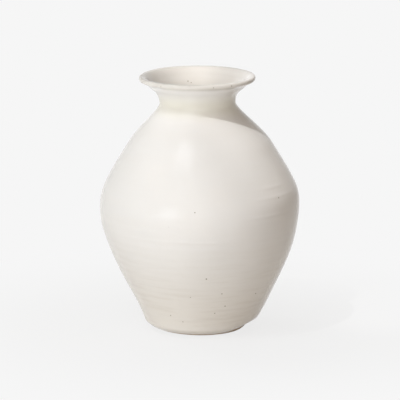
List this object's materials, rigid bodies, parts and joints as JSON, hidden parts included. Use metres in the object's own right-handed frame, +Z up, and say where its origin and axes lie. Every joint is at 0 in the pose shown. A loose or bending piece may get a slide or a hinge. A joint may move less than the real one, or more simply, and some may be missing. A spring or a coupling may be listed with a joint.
{
  "type": "moon jar",
  "caption": "White glazed jar with a full body, a short throat and a flared lip, thrown as bowls luted mouth to mouth at the belly, standing on a recessed foot ring.",
  "frame": {"origin": "middle of the foot ring's resting face, on the jar's axis", "axes": "+Z up along the jar's axis of turning; the pictured front faces -Y, with +X to its right"},
  "size_m": [0.2336, 0.2336, 0.3],
  "materials": {
    "fired_clay": "unglazed, fired, fine matt",
    "joining_slip": "fired slip, matt",
    "white_glaze": "satin-gloss white glaze with iron specks"
  },
  "bodies": {
    "root": {"foot_ring": "fired_clay", "foot_slip": "joining_slip", "lower_bowl": "fired_clay", "belly_slip": "joining_slip", "upper_bowl": "fired_clay", "collar_slip": "joining_slip", "neck_collar": "fired_clay", "outside_glaze": "white_glaze", "inside_glaze": "white_glaze", "well_glaze": "white_glaze"}
  },
  "joints": []
}
